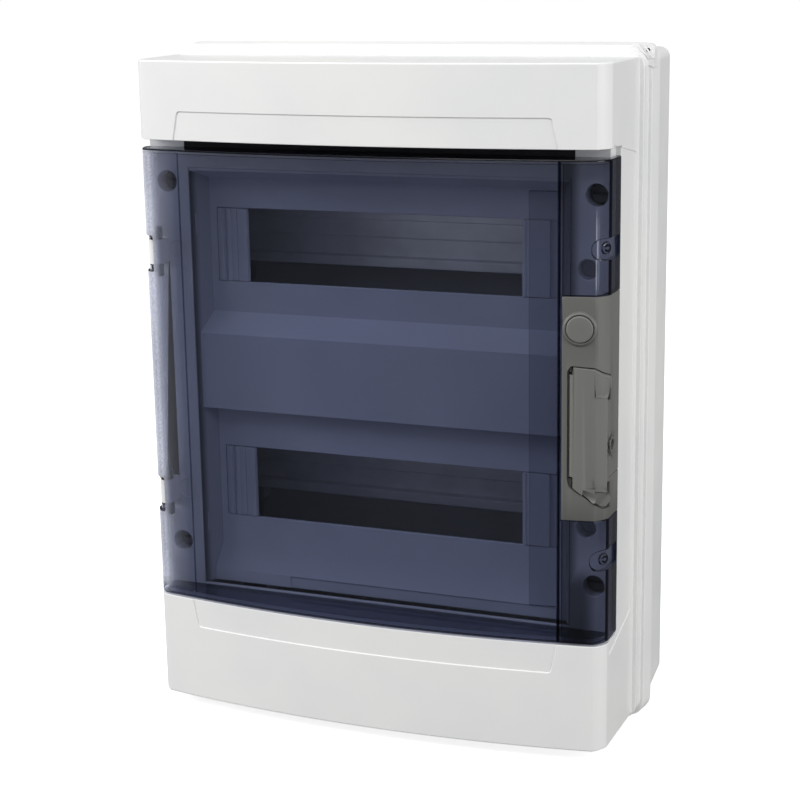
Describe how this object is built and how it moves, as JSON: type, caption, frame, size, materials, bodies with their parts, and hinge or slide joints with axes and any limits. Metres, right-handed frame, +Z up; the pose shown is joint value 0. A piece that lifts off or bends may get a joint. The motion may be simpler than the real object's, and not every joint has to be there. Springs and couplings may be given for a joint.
{
  "type": "combiner box enclosure",
  "caption": "Wall-mounted two-row DIN-rail combiner enclosure with lift-off cover, hinged smoked door and pull-lever latch.",
  "frame": {"origin": "centre of the wall face, on the outside of the rear enclosure's back", "axes": "+Z up, -Y out of the door towards the user, +X to the right seen from the front; the wall is on the +Y side"},
  "size_m": [0.306, 0.1496, 0.4118],
  "materials": {
    "shell": "fine satin-gloss moulded light grey polymer",
    "inner": "satin moulded light grey polymer",
    "smoked": "smoked blue transparent polycarbonate",
    "grey": "satin mid grey moulded polymer",
    "steel": "zinc plated steel",
    "brass": "bright drawn brass",
    "foam": "black cellular rubber",
    "carrier": "dull green moulded polyamide"
  },
  "bodies": {
    "enclosure": {"rear_enclosure": "shell", "enclosure_gasket": "foam", "upright_left": "steel", "upright_right": "steel", "upright_screw_left_top": "steel", "upright_screw_left_bottom": "steel", "upright_screw_right_top": "steel", "upright_screw_right_bottom": "steel", "din_rail_upper": "steel", "din_rail_lower": "steel", "rail_screw_upper_left": "steel", "rail_screw_upper_right": "steel", "rail_screw_lower_left": "steel", "rail_screw_lower_right": "steel", "terminal_carrier": "carrier", "carrier_screw_left": "steel", "carrier_screw_right": "steel", "earth_bar": "brass", "return_bar": "brass", "earth_bar_screw_1": "steel", "earth_bar_screw_2": "steel", "earth_bar_screw_3": "steel", "earth_bar_screw_4": "steel", "return_bar_screw_1": "steel", "return_bar_screw_2": "steel", "return_bar_screw_3": "steel", "return_bar_screw_4": "steel", "wall_fixing_cap_left_top": "shell", "wall_fixing_cap_left_bottom": "shell", "wall_fixing_cap_right_top": "shell", "wall_fixing_cap_right_bottom": "shell"},
    "cover": {"front_cover": "shell", "module_apron": "inner", "blanking_strip_upper_left": "inner", "blanking_strip_upper_right": "inner", "blanking_strip_lower_left": "inner", "blanking_strip_lower_right": "inner", "hinge_pin_upper": "steel", "hinge_pin_lower": "steel", "door_weather_strip": "foam", "cover_screw_washer_left_top": "foam", "cover_screw_washer_left_bottom": "foam", "cover_screw_washer_right_top": "foam", "cover_screw_washer_right_bottom": "foam"},
    "door": {"door_panel": "smoked", "latch_plate": "grey", "lock_blank": "grey", "lever_pin": "steel", "latch_keeper_plate": "steel", "latch_screw_upper": "steel", "latch_screw_lower": "steel", "latch_spring": "steel"},
    "lever": {"pull_lever": "grey"},
    "latch": {"latch_slide": "grey"},
    "screw_left_top": {"cover_screw_left_top": "grey"},
    "screw_left_bottom": {"cover_screw_left_bottom": "grey"},
    "screw_right_top": {"cover_screw_right_top": "grey"},
    "screw_right_bottom": {"cover_screw_right_bottom": "grey"}
  },
  "joints": [
    {"name": "cover_lift_off", "type": "slide", "parent": "enclosure", "child": "cover", "axis": [0, -1, 0], "range_m": [0, 0.15]},
    {"name": "door_hinge", "type": "hinge", "parent": "cover", "child": "door", "pos_m": [-0.1395, -0.129, 0], "axis": [0, 0, -1], "range_deg": [0, 135]},
    {"name": "lever_pull", "type": "hinge", "parent": "door", "child": "lever", "pos_m": [0.1272, -0.1374, 0], "axis": [0, 0, -1], "range_deg": [0, 35]},
    {"name": "latch_travel", "type": "slide", "parent": "door", "child": "latch", "axis": [0, 0, 1], "range_m": [0, 0.0081], "deforming": ["latch_spring"]},
    {"name": "screw_turn_left_top", "type": "hinge", "parent": "cover", "child": "screw_left_top", "pos_m": [-0.1345, -0.105, 0.1255], "axis": [0, 1, 0], "range_deg": [0, 90]},
    {"name": "screw_turn_left_bottom", "type": "hinge", "parent": "cover", "child": "screw_left_bottom", "pos_m": [-0.1345, -0.105, -0.103], "axis": [0, 1, 0], "range_deg": [0, 90]},
    {"name": "screw_turn_right_top", "type": "hinge", "parent": "cover", "child": "screw_right_top", "pos_m": [0.1345, -0.105, 0.1255], "axis": [0, 1, 0], "range_deg": [0, 90]},
    {"name": "screw_turn_right_bottom", "type": "hinge", "parent": "cover", "child": "screw_right_bottom", "pos_m": [0.1345, -0.105, -0.103], "axis": [0, 1, 0], "range_deg": [0, 90]}
  ],
  "couplings": [
    {"joint": "latch_travel", "follows": "lever_pull", "m_per_rad": 0.013096}
  ]
}
